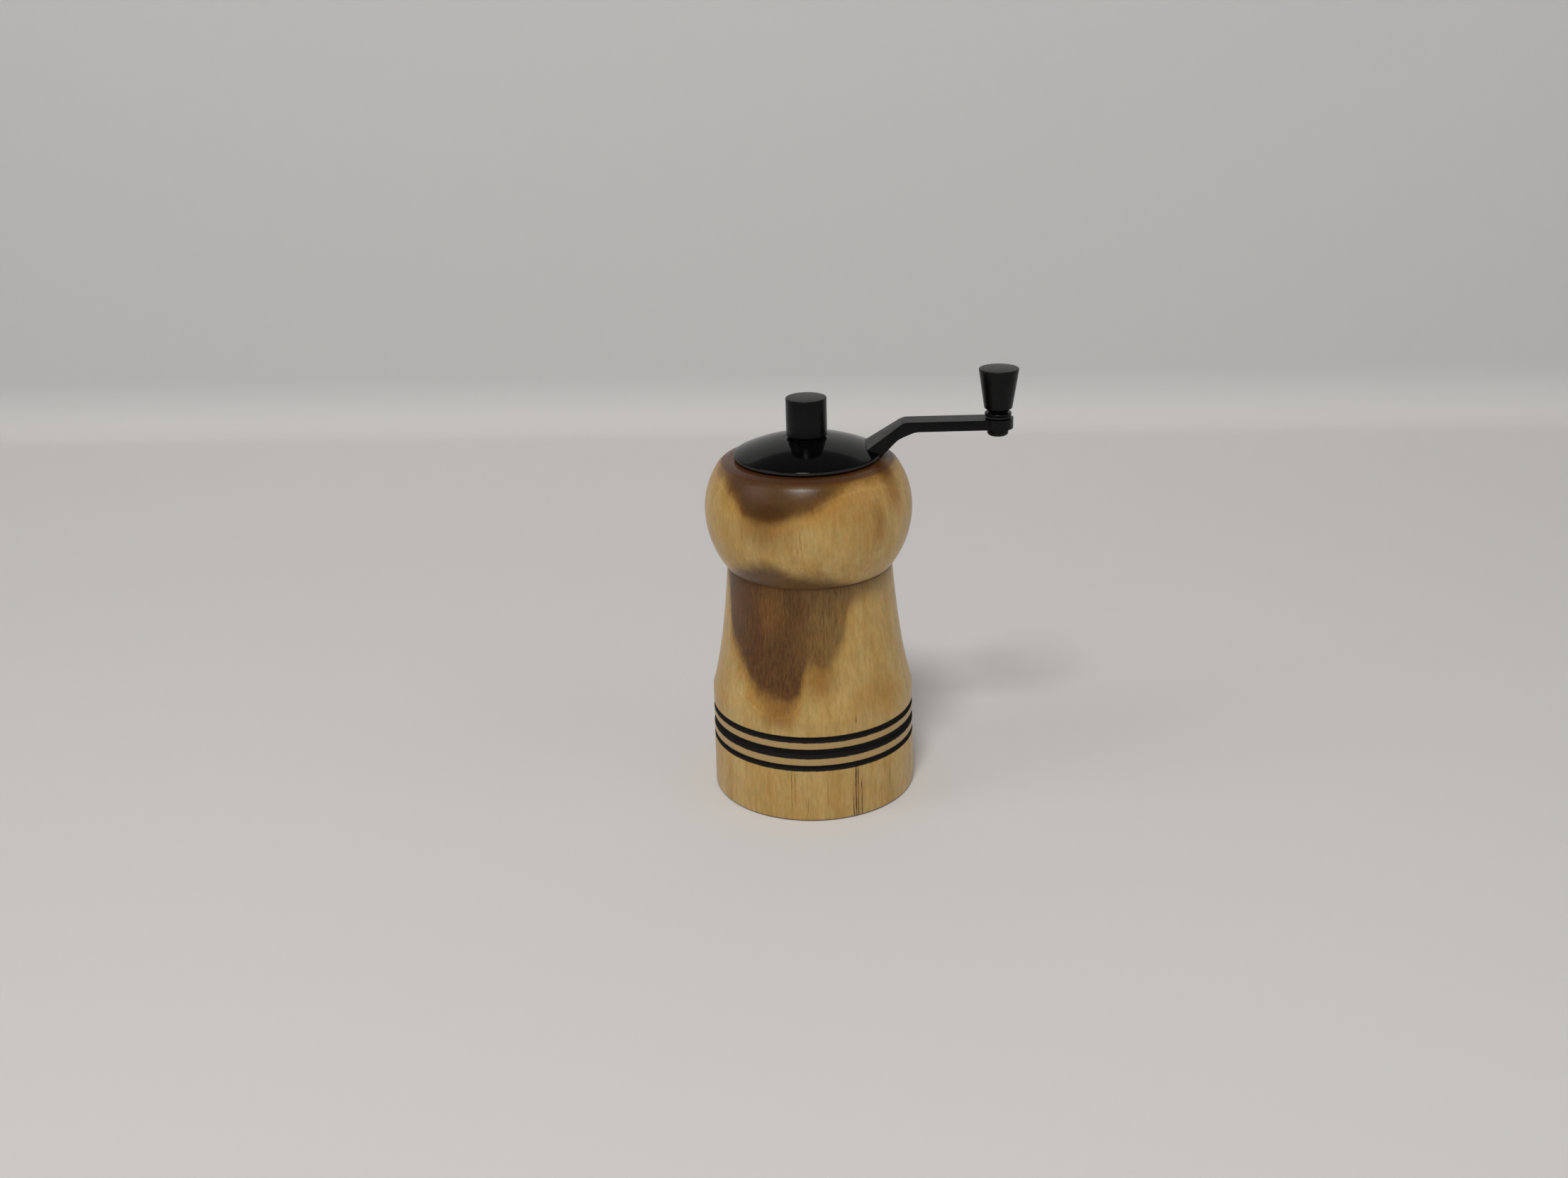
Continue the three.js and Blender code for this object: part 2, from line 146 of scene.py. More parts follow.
def finish_mesh(name, made, sharp_degrees=35):
    """Makes an object of the bmesh, with its faces pointing out."""
    bmesh.ops.recalc_face_normals(made, faces=made.faces)
    mesh = bpy.data.meshes.new(name)
    made.to_mesh(mesh)
    made.free()
    smooth(mesh, sharp_degrees)
    piece = bpy.data.objects.new(name, mesh)
    bpy.context.scene.collection.objects.link(piece)
    return piece


def turned(name, outline, about=AXIS, segments=128):
    """A solid of revolution. The outline closes on itself, unless it starts and ends on the axis."""
    on_axis = outline[0][0] == 0 and outline[-1][0] == 0
    points = rounded(outline, closed=not on_axis)
    made = bmesh.new()
    rings = []
    for r, z in points:
        if r < 1e-6:
            rings.append([made.verts.new(about + Vector((0, 0, z * MM)))])
            continue
        ring = []
        for k in range(segments):
            a = 2 * math.pi * k / segments
            ring.append(made.verts.new(about + Vector((r * math.cos(a), r * math.sin(a), z)) * MM))
        rings.append(ring)
    pairs = list(zip(rings, rings[1:]))
    if not on_axis:
        pairs.append((rings[-1], rings[0]))
    for low, high in pairs:
        for k in range(segments):
            n = (k + 1) % segments
            corners = [low[k % len(low)], low[n % len(low)], high[n % len(high)], high[k % len(high)]]
            distinct = list(dict.fromkeys(corners))
            if len(distinct) > 2:
                made.faces.new(distinct)
    return finish_mesh(name, made)


def slab(name, near_points, far_points):
    """A solid between two outlines of [x, y, z] points in millimetres about the mill's axis."""
    made = bmesh.new()
    near = [made.verts.new(AXIS + Vector(point) * MM) for point in near_points]
    far = [made.verts.new(AXIS + Vector(point) * MM) for point in far_points]
    made.faces.new(near)
    made.faces.new(far)
    for i in range(len(near)):
        n = (i + 1) % len(near)
        made.faces.new((near[i], near[n], far[n], far[i]))
    return finish_mesh(name, made)


def side_prism(name, outline, half_width):
    """A side view of [x, z] points, as far to the front as to the back."""
    near = [(x, -half_width, z) for x, z in outline]
    far = [(x, half_width, z) for x, z in outline]
    return slab(name, near, far)


def plan_prism(name, half_widths, low_z, high_z):
    """A plan view from [x, half width] points, the same to the front and the back."""
    outline = [(x, -half) for x, half in half_widths] + [(x, half) for x, half in reversed(half_widths)]
    low = [(x, y, low_z) for x, y in outline]
    high = [(x, y, high_z) for x, y in outline]
    return slab(name, low, high)


def rod_piece(name, radius, low_z, high_z, about, segments=48):
    """A round bar to join to another piece or to cut from it."""
    outline = [(0, low_z), (radius, low_z), (radius, high_z), (0, high_z)]
    return turned(name, outline, about, segments)


def apply_modifiers(piece):
    """Gives the piece the mesh that its modifiers make."""
    graph = bpy.context.evaluated_depsgraph_get()
    mesh = bpy.data.meshes.new_from_object(piece.evaluated_get(graph))
    piece.modifiers.clear()
    old, piece.data = piece.data, mesh
    bpy.data.meshes.remove(old)


def combine(piece, *others, operation="DIFFERENCE"):
    """Cuts the others out of the piece, or joins them to it, and removes them."""
    for other in others:
        cut = piece.modifiers.new("cut", "BOOLEAN")
        cut.operation = operation
        cut.solver = "EXACT"
        cut.object = other
    bpy.context.view_layer.update()
    apply_modifiers(piece)
    for other in others:
        bpy.data.objects.remove(other)
    return piece


def bevelled(piece, width):
    """Rounds the piece's edges by width millimetres."""
    bevel = piece.modifiers.new("edges", "BEVEL")
    bevel.width = width * MM
    bevel.segments = 3
    bevel.limit_method = "ANGLE"
    bevel.angle_limit = math.radians(40)
    bevel.miter_outer = "MITER_ARC"
    bpy.context.view_layer.update()
    apply_modifiers(piece)
    smooth(piece.data)
    return piece


# ---------------------------------------------------------------- material helpers


class Shader:
    """Short calls for building one material's node tree."""

    def __init__(self, name):
        self.material = bpy.data.materials.new(name)
        self.material.use_nodes = True
        self.tree = self.material.node_tree
        self.tree.nodes.clear()
        output = self.node("ShaderNodeOutputMaterial")
        self.surface = self.node("ShaderNodeBsdfPrincipled")
        self.tree.links.new(self.surface.outputs[0], output.inputs[0])

    def node(self, kind, **settings):
        made = self.tree.nodes.new(kind)
        for key, value in settings.items():
            setattr(made, key, value)
        return made

    def feed(self, socket, value):
        """Links a socket to the value, or sets it where the value is a plain number or colour."""
        if isinstance(value, bpy.types.NodeSocket):
            self.tree.links.new(value, socket)
        elif isinstance(value, tuple) and len(value) == 3 and len(socket.default_value) == 4:
            socket.default_value = (*value, 1)
        else:
            socket.default_value = value

    def set(self, **values):
        """Sets or links the surface's own sockets, named with _ for each space."""
        for key, value in values.items():
            self.feed(self.surface.inputs[key.replace("_", " ")], value)

    def math(self, operation, a, b=0.0):
        made = self.node("ShaderNodeMath", operation=operation)
        self.feed(made.inputs[0], a)
        self.feed(made.inputs[1], b)
        return made.outputs[0]

    def total(self, *values):
        made = values[0]
        for value in values[1:]:
            made = self.math("ADD", made, value)
        return made

    def times(self, a, b):
        return self.math("MULTIPLY", a, b)

    def minus(self, a, b):
        return self.math("SUBTRACT", a, b)

    def most(self, a, b):
        return self.math("MAXIMUM", a, b)

    def step(self, value, low, high):
        """0 below low and 1 above high, smoothly in between."""
        made = self.node("ShaderNodeMapRange", interpolation_type="SMOOTHSTEP")
        for socket, number in zip(made.inputs, (value, low, high, 0.0, 1.0)):
            self.feed(socket, number)
        return made.outputs[0]

    def mix(self, factor, a, b, blend="MIX"):
        """Two colours mixed. The node's colour sockets come after its sockets for other types."""
        made = self.node("ShaderNodeMix", data_type="RGBA", blend_type=blend)
        self.feed(made.inputs[0], factor)
        self.feed(made.inputs[6], a)
        self.feed(made.inputs[7], b)
        return made.outputs[2]

    def scaled(self, vector, scale):
        made = self.node("ShaderNodeVectorMath", operation="MULTIPLY")
        self.feed(made.inputs[0], vector)
        made.inputs[1].default_value = scale
        return made.outputs[0]

    def noise(self, vector, scale, detail=4.0, roughness=0.55, distortion=0.0):
        made = self.node("ShaderNodeTexNoise")
        self.feed(made.inputs["Vector"], vector)
        made.inputs["Scale"].default_value = scale
        made.inputs["Detail"].default_value = detail
        made.inputs["Roughness"].default_value = roughness
        made.inputs["Distortion"].default_value = distortion
        return made.outputs[0]

    def bump(self, height, distance, strength):
        """Relief of the surface, with its distance in metres."""
        made = self.node("ShaderNodeBump")
        made.inputs["Strength"].default_value = strength
        made.inputs["Distance"].default_value = distance
        self.feed(made.inputs["Height"], height)
        self.feed(self.surface.inputs["Normal"], made.outputs[0])

    def millimetres(self, about=AXIS):
        """The piece's own coordinates from the mill's axis, in millimetres."""
        place = self.node("ShaderNodeTexCoord").outputs["Object"]
        shifted = self.node("ShaderNodeVectorMath", operation="SUBTRACT")
        self.feed(shifted.inputs[0], place)
        shifted.inputs[1].default_value = about
        return self.scaled(shifted.outputs[0], (1 / MM,) * 3)


# ---------------------------------------------------------------- wood

# Albedos of the sapwood and of the golden edges of its stains.
PALE = (0.585, 0.40, 0.150)
STRAW = (0.50, 0.31, 0.090)
FIBRE = (0.47, 0.29, 0.11)
ROSY = (0.46, 0.305, 0.135)
GOLD = (0.44, 0.232, 0.045)
AMBER = (0.40, 0.19, 0.034)
TAWNY = (0.34, 0.16, 0.035)
HONEY = (0.32, 0.18, 0.055)
RUST = (0.26, 0.116, 0.022)

# Albedos inside the stains.
HAZEL = (0.23, 0.125, 0.035)
COPPER = (0.20, 0.092, 0.018)
BROWN = (0.165, 0.074, 0.018)
GREY_BROWN = (0.136, 0.075, 0.024)
UMBER = (0.135, 0.066, 0.018)
CHESTNUT = (0.135, 0.055, 0.009)
WALNUT = (0.125, 0.052, 0.015)
SMOKE = (0.115, 0.062, 0.022)
PURPLE = (0.112, 0.050, 0.018)
WINE = (0.105, 0.034, 0.013)
COCOA = (0.096, 0.044, 0.010)
MULBERRY = (0.086, 0.038, 0.016)
DARK = (0.082, 0.031, 0.007)
# Partly painted shade under the dome's lip, partly burned wood.
UNDER_LIP_SHADE_AND_BURN = (0.075, 0.025, 0.009)
BURNT = (0.070, 0.026, 0.003)

# Albedos of small marks.
PORE = (0.12, 0.06, 0.025)
FOOT_EDGE = (0.09, 0.05, 0.03)
# Painted shadow along the seam.
SEAM_SHADOW = (0.09, 0.045, 0.02)
TORN = (0.06, 0.03, 0.015)
CRACK = (0.024, 0.011, 0.005)
SCORCH = (0.006, 0.005, 0.004)

GROOVES = [(18.05, 1.8, 0.8), (22.85, 3.1, 1.3), (27.55, 1.9, 0.8)]  # height, width, depth
SEAM_Z = 74.15
CURVE_TOP = 110.0  # the height that a curve's top stands for


class Wood(Shader):
    """Stained wood mapped by the angle round the mill, 0 in front, and the height in millimetres."""

    def __init__(self, name):
        super().__init__(name)
        self.place = self.millimetres()
        parts = self.node("ShaderNodeSeparateXYZ")
        self.feed(parts.inputs[0], self.place)
        x, y, self.z = parts.outputs
        self.angle = self.times(self.math("ARCTAN2", x, self.times(y, -1.0)), math.degrees(1))
        self.radius = self.math("SQRT", self.total(self.times(x, x), self.times(y, y)))
        # Slow and fine wandering of edges, then long fibres, and broad bands of colour.
        self.warp = self.minus(self.noise(self.place, 0.16, 5, 0.6), 0.5)
        self.warp_fine = self.minus(self.noise(self.scaled(self.place, (1, 1, 0.35)), 0.7, 4, 0.6), 0.5)
        self.fibres = self.noise(self.scaled(self.place, (1.0, 1.0, 0.045)), 1.5, 6, 0.7)
        self.grain = self.times(self.minus(self.fibres, 0.5), 5.0)
        self.bands = self.noise(self.scaled(self.place, (1.0, 1.0, 0.10)), 0.16, 4, 0.6, 0.4)

    def line(self, points):
        """A height that follows [angle, height] points round the mill."""
        made = self.node("ShaderNodeFloatCurve")
        curve = made.mapping.curves[0]
        ends = [(-180, points[0][1]), *points, (180, points[-1][1])]
        while len(curve.points) < len(ends):
            curve.points.new(0.5, 0.5)
        for point, (angle, z) in zip(curve.points, ends):
            point.location = ((angle + 180) / 360, z / CURVE_TOP)
        made.mapping.update()
        made.inputs["Factor"].default_value = 1
        self.feed(made.inputs["Value"], self.total(self.times(self.angle, 1 / 360), 0.5))
        return self.times(made.outputs[0], CURVE_TOP)

    def patch(self, angle, z, half_angle, half_z, soft=0.5, ragged=0.5):
        """1 inside an oval patch, fading over its outer share."""
        across = self.times(self.minus(self.angle, angle), 1 / half_angle)
        up = self.times(self.minus(self.z, z), 1 / half_z)
        far = self.math("SQRT", self.total(self.times(across, across), self.times(up, up)))
        far = self.total(far, self.times(self.warp, ragged), self.times(self.warp_fine, ragged))
        return self.step(far, 1 + soft / 2, 1 - soft)

    def tinted(self, colour, *patches):
        """The colour under oval patches, each a patch's values, its share and its tint."""
        for *oval, share, tint in patches:
            colour = self.mix(self.times(self.patch(*oval), share), colour, tint)
        return colour

    def hairline(self, angle, low, high, half_width):
        """A crack that runs up the wood, with half_width in degrees."""
        wander = self.times(self.warp, 1.2)
        off = self.math("ABSOLUTE", self.minus(self.total(self.angle, wander), angle))
        thin = self.step(off, half_width, half_width * 0.3)
        broken = self.total(0.6, self.times(self.step(self.warp_fine, -0.06, 0.08), 0.4))
        ends = self.times(self.step(self.z, low, low + 2), self.step(self.z, high, high - 4))
        outside = self.step(self.radius, 24, 25)
        return self.times(self.times(thin, self.times(ends, broken)), outside)


def stain_lower(wood, colour):
    """The brown stain that hangs from the seam, its golden edge, and the patches round it."""
    edge = wood.line([
        (-80, 73), (-72, 68), (-66, 60), (-60, 54), (-52, 50), (-45, 46), (-38, 42), (-30, 39),
        (-20, 37.5), (-12, 38.4), (-8, 41.5), (-5, 46.5), (-2, 49.5), (2, 49), (6, 47.5), (11, 49.5),
        (17, 54.5), (22, 60.5), (27, 66.5), (36, 69.5), (60, 70.5), (90, 72),
    ])
    wander = wood.total(wood.times(wood.warp, 7), wood.times(wood.warp_fine, 4), wood.grain)
    depth = wood.total(wood.minus(wood.z, edge), wander)
    below_seam = wood.step(wood.z, SEAM_Z + 0.05, SEAM_Z - 0.05)
    halo = wood.times(wood.step(depth, -9, -1), below_seam)
    halo = wood.times(halo, wood.step(wood.angle, 40, 0))
    colour = wood.mix(wood.times(halo, 0.75), colour, GOLD)
    colour = wood.tinted(
        colour,
        (43, 38, 20, 5.5, 0.9, 0.55, AMBER),
        (-20, 35, 11, 4.5, 1.0, 0.75, RUST),
        (4, 45, 13, 5.5, 1.0, 0.6, RUST),
    )

    stain = wood.times(wood.step(depth, -3.2, 4.2), below_seam)
    streaky = wood.step(wood.fibres, 0.35, 0.62)
    inside = wood.tinted(
        wood.mix(wood.times(streaky, 0.6), DARK, BROWN),
        (-54, 63, 13, 14, 0.9, 0.8, PURPLE),
        (-27, 66, 11, 8, 1.0, 0.8, COPPER),
        (-38, 56, 5, 9, 0.9, 0.7, WINE),
        (-13, 53, 7, 11, 0.9, 0.5, WALNUT),
    )
    right = wood.step(wood.total(wood.angle, wood.times(wood.warp, 20)), -7, 5)
    inside = wood.mix(wood.times(right, 0.75), inside, GREY_BROWN)
    inside = wood.tinted(inside, (2, 57, 14, 12, 0.9, 0.5, HAZEL))
    threads = wood.step(wood.noise(wood.scaled(wood.place, (1, 1, 0.09)), 2.6, 4, 0.7), 0.38, 0.60)
    inside = wood.mix(0.8, inside, wood.mix(threads, (0.62, 0.62, 0.64), (1.20, 1.18, 1.14)), "MULTIPLY")
    cover = wood.minus(0.97, wood.times(wood.step(wood.angle, 0, 42), 0.36))
    cover = wood.minus(cover, wood.times(wood.times(right, streaky), 0.2))
    colour = wood.mix(wood.times(stain, cover), colour, inside)
    by_seam = wood.times(wood.patch(24, 73, 42, 5.5, 1.0), below_seam)
    return wood.mix(wood.times(by_seam, 0.5), colour, SMOKE)


def stain_head(wood, colour):
    """The dark stain round the mouth with a ring of painted shade under the dome's lip, the one above
    the seam, and the streaks between them.
    """
    above_seam = wood.step(wood.z, SEAM_Z - 0.05, SEAM_Z + 0.05)
    top = wood.line([
        (-90, 107), (-72, 106), (-60, 104.6), (-50, 102.3), (-42, 100.3), (-38, 97.6), (-30, 96.2),
        (-20, 96.4), (-13, 97.8), (-6, 99), (2, 100), (10, 102.6), (18, 104.8), (28, 106.5),
        (48, 106.5), (54, 105.5), (64, 105.5), (70, 106.5), (90, 107),
    ])
    wander = wood.total(wood.times(wood.warp, 3.5), wood.times(wood.warp_fine, 1.6))
    rise = wood.total(wood.minus(wood.z, top), wander)
    halo = wood.step(rise, -7, -0.5)
    colour = wood.mix(wood.times(halo, 0.6), colour, GOLD)
    colour = wood.tinted(
        colour,
        (24, 100, 24, 5, 0.9, 0.45, AMBER),
        (-25, 93.5, 17, 6, 1.0, 0.7, RUST),
        (57, 102, 8, 8, 0.8, 0.8, TAWNY),
        (33, 94, 17, 9, 1.0, 0.4, AMBER),
        (41, 93, 5, 7.5, 0.9, 0.6, RUST),
    )
    narrow = wood.times(wood.patch(-6, 90, 5, 9, 0.9), wood.step(wood.fibres, 0.42, 0.60))
    colour = wood.mix(wood.times(narrow, 0.5), colour, HONEY)

    brown_edge = wood.step(rise, -2.6, 1.6)
    colour = wood.mix(wood.times(brown_edge, 0.95), colour, CHESTNUT)
    heart = wood.step(rise, 1.0, 3.6)
    heart_colour = wood.mix(wood.step(wood.angle, -40, -10), MULBERRY, COCOA)
    colour = wood.mix(wood.times(heart, 0.85), colour, heart_colour)
    dark_rim = wood.times(wood.patch(-22, 99, 16, 3.0, 0.9), brown_edge)
    colour = wood.mix(wood.times(dark_rim, 0.85), colour, BURNT)
    # Painted shade under the dome's lip, mixed with burned wood: a dark ring on the head's top face.
    colour = wood.mix(wood.times(wood.step(wood.z, 106.2, 107.0), 0.8), colour, UNDER_LIP_SHADE_AND_BURN)

    low = wood.line([
        (-90, 75.5), (-64, 76.5), (-52, 79), (-42, 81.3), (-30, 83.4), (-20, 83.2), (-12, 81.4),
        (-4, 80.4), (4, 80), (12, 78.8), (20, 77), (30, 75.6), (50, 75), (90, 74.6),
    ])
    wander = wood.total(wood.times(wood.warp, 4), wood.times(wood.warp_fine, 2))
    drop = wood.total(wood.minus(low, wood.z), wander)
    band = wood.times(wood.step(drop, -2.4, 4.2), above_seam)
    band_colour = wood.mix(wood.step(wood.angle, -34, -14), PURPLE, UMBER)
    band_colour = wood.mix(wood.times(wood.step(wood.angle, 5, 35), 0.6), band_colour, GREY_BROWN)
    return wood.mix(wood.times(band, 0.94), colour, band_colour)


def figure_behind(wood, colour):
    """Quieter streaks of heartwood on the sides and the back."""
    threads = wood.total(0.55, wood.times(wood.step(wood.fibres, 0.35, 0.65), 0.45))
    for angle, z, half_angle, half_z, share in [
        (140, 60, 20, 46, 0.55),
        (152, 88, 12, 22, 0.5),
        (-128, 30, 16, 26, 0.45),
        (-118, 92, 15, 12, 0.5),
        (105, 20, 12, 30, 0.35),
        (-165, 66, 10, 30, 0.4),
    ]:
        streak = wood.times(wood.patch(angle, z, half_angle, half_z, 1.0, 1.6), threads)
        colour = wood.mix(wood.times(streak, share), colour, RUST)
    return colour


def growth_lines(wood, colour):
    """Two pale rings of growth that curve over the head, and one round the tip of the low stain."""
    head_left = [
        (-90, 105), (-65, 103.2), (-50, 101.2), (-42, 100), (-34, 99.8), (-26, 101.6), (-15, 103),
        (0, 104.3), (20, 108),
    ]
    head_right = [
        (-6, 98), (2, 100), (9, 101.8), (18, 103.2), (32, 103.9), (46, 103.5), (58, 102), (68, 100),
        (90, 98),
    ]
    low_tip = [
        (-62, 41), (-50, 39.2), (-38, 36.6), (-30, 34.8), (-20, 34.2), (-14, 35), (-9, 37.5),
        (-4, 42), (2, 60),
    ]
    paler = (1.5, 1.55, 1.9)
    for points in (head_left, head_right, low_tip):
        off = wood.minus(wood.z, wood.line(points))
        off = wood.math("ABSOLUTE", wood.total(off, wood.times(wood.warp, 0.8)))
        thin = wood.times(wood.step(off, 0.5, 0.1), wood.step(wood.warp_fine, -0.25, 0.15))
        start = wood.step(wood.angle, points[0][0], points[0][0] + 12)
        end = wood.step(wood.angle, points[-1][0], points[-1][0] - 10)
        lift = wood.times(wood.times(thin, wood.times(start, end)), 0.3)
        colour = wood.mix(lift, colour, wood.mix(1.0, colour, paler, "MULTIPLY"))
    return colour


def marks(wood, colour):
    """Cracks, tear-out below the seam, the scorched grooves, the dark lower edge and a painted shadow
    along the seam on the front right.

    Returns the colour and how burned the surface is, from 0 to 1.
    """
    outside = wood.step(wood.radius, 29.0, 29.6)
    wide_cracks = [
        (23.3, -2, 22, 0.62), (24.6, -2, 19, 0.42), (26.8, -2, 14, 0.45), (21.8, -2, 10, 0.40),
        (24.2, 31.0, 35.5, 0.5),
    ]
    fine_cracks = [
        (-11, 9, 19, 0.2), (-13, 3, 19, 0.16), (-56, -2, 9, 0.2), (47, 2, 18, 0.16),
        (25, 16, 28, 0.2), (-4, 2, 10, 0.16), (7, 4, 16, 0.14), (36, 0, 14, 0.14),
    ]
    for crack in wide_cracks + fine_cracks:
        colour = wood.mix(wood.hairline(*crack), colour, CRACK)
    colour = wood.tinted(colour, (24.5, 7, 4.5, 11, 1.0, 0.35, RUST))

    dashes = wood.step(wood.noise(wood.scaled(wood.place, (1, 1, 0.2)), 1.9, 2, 0.5), 0.56, 0.66)
    torn = wood.times(wood.patch(16, 72.6, 20, 1.8, 0.6), dashes)
    colour = wood.mix(wood.times(torn, 0.65), colour, TORN)

    among_grooves = wood.times(wood.step(wood.z, 17.2, 18.6), wood.step(wood.z, 28.6, 27.4))
    colour = wood.mix(wood.times(wood.times(among_grooves, outside), 0.8), colour, ROSY)
    burned = 0.0
    for z, width, _ in GROOVES:
        off = wood.math("ABSOLUTE", wood.minus(wood.z, z))
        off = wood.total(off, wood.times(wood.warp_fine, 0.35))
        ring = wood.times(wood.step(off, width / 2 + 0.28, width / 2 - 0.05), outside)
        burned = wood.most(burned, ring)
        colour = wood.mix(ring, colour, SCORCH)
    foot = wood.step(wood.total(wood.z, wood.times(wood.warp_fine, 0.5)), 0.75, 0.2)
    foot = wood.times(foot, wood.step(wood.radius, 30.9, 31.7))
    colour = wood.mix(wood.times(foot, 0.75), colour, FOOT_EDGE)
    # Painted shadow: a dark line along the seam, on the front right only.
    seam = wood.step(wood.math("ABSOLUTE", wood.minus(wood.z, SEAM_Z)), 0.6, 0.1)
    on_right = wood.times(wood.step(wood.radius, 24, 24.6), wood.step(wood.angle, -15, 25))
    seam = wood.times(wood.times(seam, on_right), 0.75)
    return wood.mix(seam, colour, SEAM_SHADOW), burned


def wood_material():
    wood = Wood("stained_wood")
    colour = wood.mix(wood.step(wood.bands, 0.36, 0.66), PALE, STRAW)
    colour = wood.mix(wood.times(wood.step(wood.fibres, 0.45, 0.75), 0.4), colour, FIBRE)
    colour = wood.mix(wood.times(wood.step(wood.warp, -0.05, 0.22), 0.25), colour, GOLD)
    colour = figure_behind(wood, colour)
    colour = stain_lower(wood, colour)
    colour = stain_head(wood, colour)
    colour = growth_lines(wood, colour)
    pores = wood.noise(wood.scaled(wood.place, (1, 1, 0.12)), 5.5, 3, 0.6)
    flecks = wood.step(pores, 0.60, 0.74)
    colour = wood.mix(wood.times(flecks, 0.22), colour, PORE)
    mottle = wood.step(wood.noise(wood.scaled(wood.place, (1, 1, 0.22)), 1.1, 5, 0.65), 0.36, 0.64)
    shade = wood.mix(mottle, (0.80, 0.77, 0.72), (1.10, 1.09, 1.07))
    colour = wood.mix(0.5, colour, shade, "MULTIPLY")
    blotch = wood.step(wood.noise(wood.place, 0.22, 3, 0.5), 0.40, 0.62)
    warmth = wood.mix(blotch, (1.04, 0.97, 0.90), (0.97, 1.02, 1.03))
    colour = wood.mix(0.7, colour, warmth, "MULTIPLY")
    colour, burned = marks(wood, colour)
    dull = wood.total(wood.times(wood.fibres, 0.14), wood.times(flecks, 0.1), wood.times(burned, 0.5))
    wood.set(Base_Color=colour, Roughness=wood.total(0.22, dull), Specular_IOR_Level=0.28)
    varnish = wood.noise(wood.place, 2.4, 3, 0.6)
    relief = wood.total(wood.times(wood.fibres, 0.6), wood.times(pores, 0.4), wood.times(varnish, 0.5))
    wood.bump(relief, 0.00006, 0.5)
    return wood.material


# ---------------------------------------------------------------- metal and plastic


def lacquer_material(name, about, gloss, wear, specular, wear_and_reflection_edge):
    """Black stove enamel: gloss is the roughness, wear how much its fine scratches show.

    wear_and_reflection_edge is the radius and the lowest and highest z, in millimetres, of an edge that
    is rubbed dull, and how much of the paint is gone there. On the dome's lip the lighter band is also a
    painted reflection of the wood.
    """
    paint = Shader(name)
    place = paint.millimetres(about)
    cloud = paint.noise(place, 0.25, 4)
    scratches = paint.noise(paint.scaled(place, (1, 1, 6)), 2.5, 5, 0.7)
    deep, thin = (0.0012, 0.0012, 0.0014), (0.0024, 0.0023, 0.0024)
    primer_and_reflection_grey = (0.034, 0.030, 0.026)
    colour = paint.mix(paint.step(cloud, 0.35, 0.7), deep, thin)

    radius, low, high, share = wear_and_reflection_edge
    parts = paint.node("ShaderNodeSeparateXYZ")
    paint.feed(parts.inputs[0], place)
    x, y, z = parts.outputs
    outward = paint.math("SQRT", paint.total(paint.times(x, x), paint.times(y, y)))
    from_inside = paint.step(outward, radius - 0.12, radius)
    from_outside = paint.step(outward, radius + 0.6, radius + 0.5)
    between = paint.times(paint.step(z, low - 0.05, low), paint.step(z, high + 0.05, high))
    ring = paint.times(paint.times(from_inside, from_outside), between)
    chips = paint.step(paint.noise(place, 1.7, 4, 0.7), 1 - share, 1.04 - share)
    # Rubbed paint, and on the dome's lip also a painted reflection: a lighter grey band.
    wear_and_reflection = paint.times(ring, chips)

    scratched = paint.times(paint.step(scratches, 0.45, 0.75), wear)
    rough = paint.total(gloss, scratched, paint.times(cloud, wear * 0.5), paint.times(wear_and_reflection, 0.25))
    paint.set(
        Base_Color=paint.mix(wear_and_reflection, colour, primer_and_reflection_grey),
        Roughness=rough,
        Specular_IOR_Level=specular,
    )
    paint.bump(paint.noise(place, 3.5, 3), 0.00001, 0.25 + wear)
    return paint.material


def satin_enamel(name, node, about, radius):
    """Satin enamel, rubbed dull round the top edge of the node's knob, from the radius outwards."""
    top = heights(node)[1]
    wear_and_reflection_edge = (radius, top - 0.35, top, 0.45)
    return lacquer_material(name, about, gloss=0.24, wear=0.14, specular=0.18, wear_and_reflection_edge=wear_and_reflection_edge)


def metal_material(name, colour, dark, rough):
    """Machined metal with fine turning marks round the mill's axis."""
    metal = Shader(name)
    place = metal.millimetres()
    marks_round = metal.noise(metal.scaled(place, (0.25, 0.25, 5)), 1.6, 5, 0.7)
    cloud = metal.noise(place, 0.4, 4)
    metal.set(
        Base_Color=metal.mix(metal.step(cloud, 0.3, 0.75), colour, dark),
        Roughness=metal.total(rough, metal.times(marks_round, 0.18)),
        Metallic=1.0,
    )
    metal.bump(marks_round, 0.00002, 0.4)
    return metal.material


def nylon_material():
    """Black moulded nylon with a fine matt grain."""
    nylon = Shader("black_nylon")
    place = nylon.millimetres()
    grain = nylon.noise(place, 6, 3)
    cloud = nylon.noise(place, 0.5, 3)
    nylon.set(
        Base_Color=nylon.mix(cloud, (0.016, 0.016, 0.017), (0.030, 0.029, 0.029)),
        Roughness=nylon.total(0.5, nylon.times(grain, 0.2)),
    )
    nylon.bump(grain, 0.00002, 0.4)
    return nylon.material


wood_finish = wood_material()
